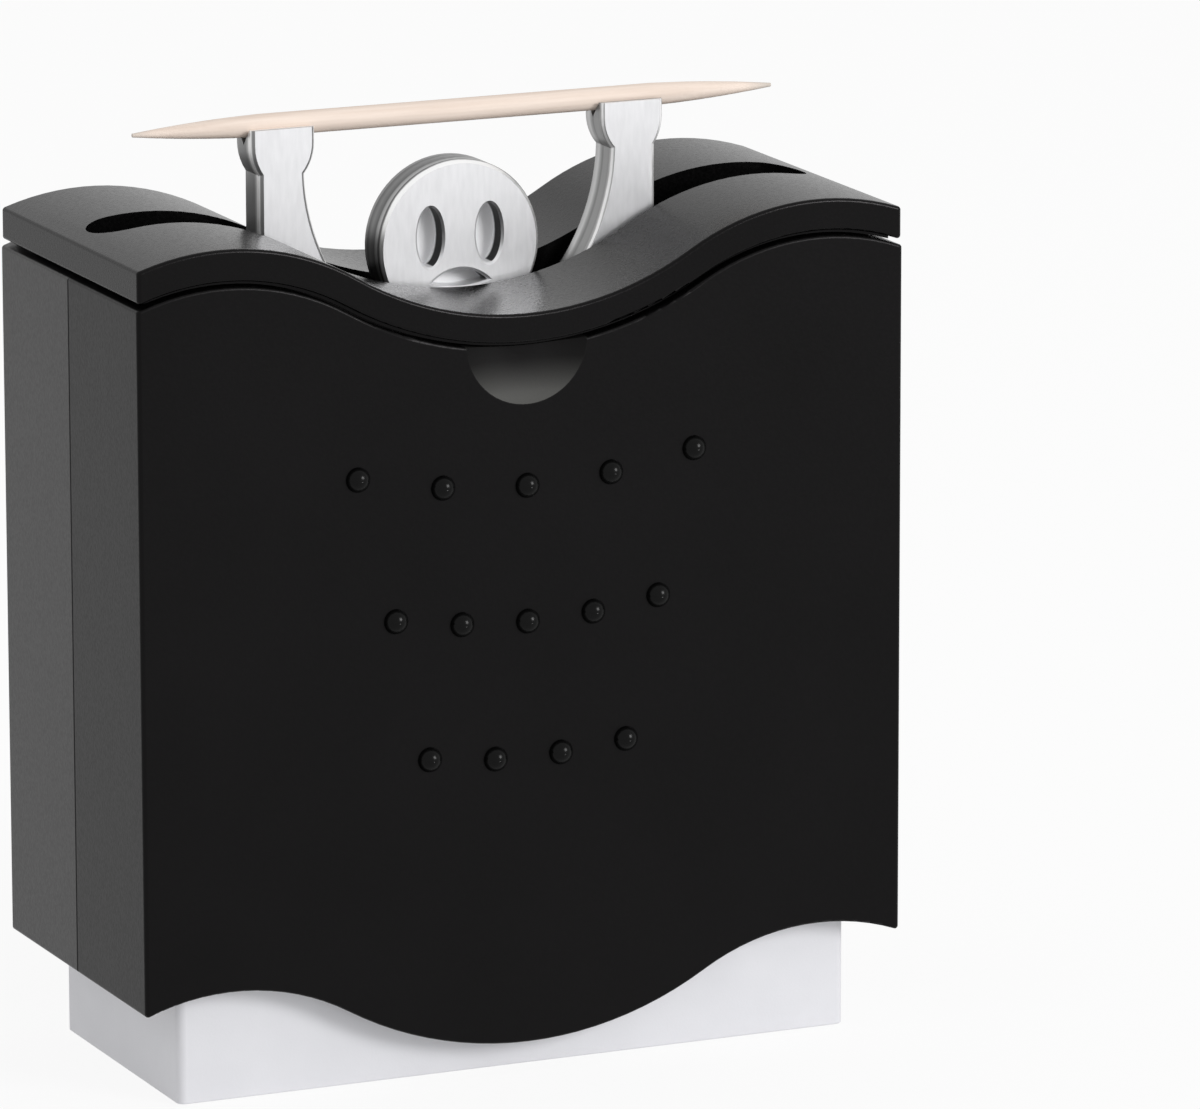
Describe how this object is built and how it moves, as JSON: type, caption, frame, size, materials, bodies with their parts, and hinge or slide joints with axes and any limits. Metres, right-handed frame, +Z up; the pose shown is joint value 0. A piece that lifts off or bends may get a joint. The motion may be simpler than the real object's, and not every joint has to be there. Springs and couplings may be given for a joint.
{
  "type": "toothpick dispenser",
  "caption": "Tabletop box that slides up and down on a base, so that a figure inside lifts one toothpick out through a slot in the wavy lid.",
  "frame": {"origin": "on the table, under the middle of the base", "axes": "+Z up, +X to the right of someone who faces the studded front, the front faces -Y"},
  "size_m": [0.0772, 0.0362, 0.0901],
  "materials": {
    "case_black": "matt, fine moulded texture",
    "lid_black": "satin",
    "hopper_black": "matt",
    "stud_gloss": "polished",
    "base_silver": "satin silver paint",
    "figure_metal": "satin face, bright chamfered edges",
    "weight_steel": "plain rolled",
    "rail_steel": "plain drawn",
    "fastener_steel": "zinc plated",
    "pad_rubber": "matt",
    "toothpick_wood": "bare sanded wood"
  },
  "bodies": {
    "base": {"base_housing": "base_silver", "base_plate": "base_silver", "base_screws": "fastener_steel", "ballast_plate": "weight_steel", "non_slip_pad": "pad_rubber", "deck_bumpers": "pad_rubber", "lifter_figure": "figure_metal", "figure_bracket": "weight_steel", "bracket_screws": "fastener_steel", "figure_bolts": "fastener_steel", "figure_nuts": "fastener_steel", "guide_rail_left": "rail_steel", "guide_rail_right": "rail_steel", "rail_screws": "fastener_steel"},
    "case": {"front_shell": "case_black", "rear_shell": "case_black", "hopper_tray": "hopper_black", "stud_row_top": "stud_gloss", "stud_row_middle": "stud_gloss", "stud_row_bottom": "stud_gloss"},
    "lid": {"lid": "lid_black"},
    "toothpick": {"toothpick": "toothpick_wood"}
  },
  "joints": [
    {"name": "case_lift", "type": "slide", "parent": "base", "child": "case", "axis": [0, 0, 1], "range_m": [0, 0.0446]},
    {"name": "lid_lift", "type": "slide", "parent": "case", "child": "lid", "axis": [0, 0, 1], "range_m": [0, 0.026]},
    {"name": "toothpick_lift", "type": "slide", "parent": "base", "child": "toothpick", "axis": [0, 0, 1], "range_m": [0, 0.02]}
  ]
}
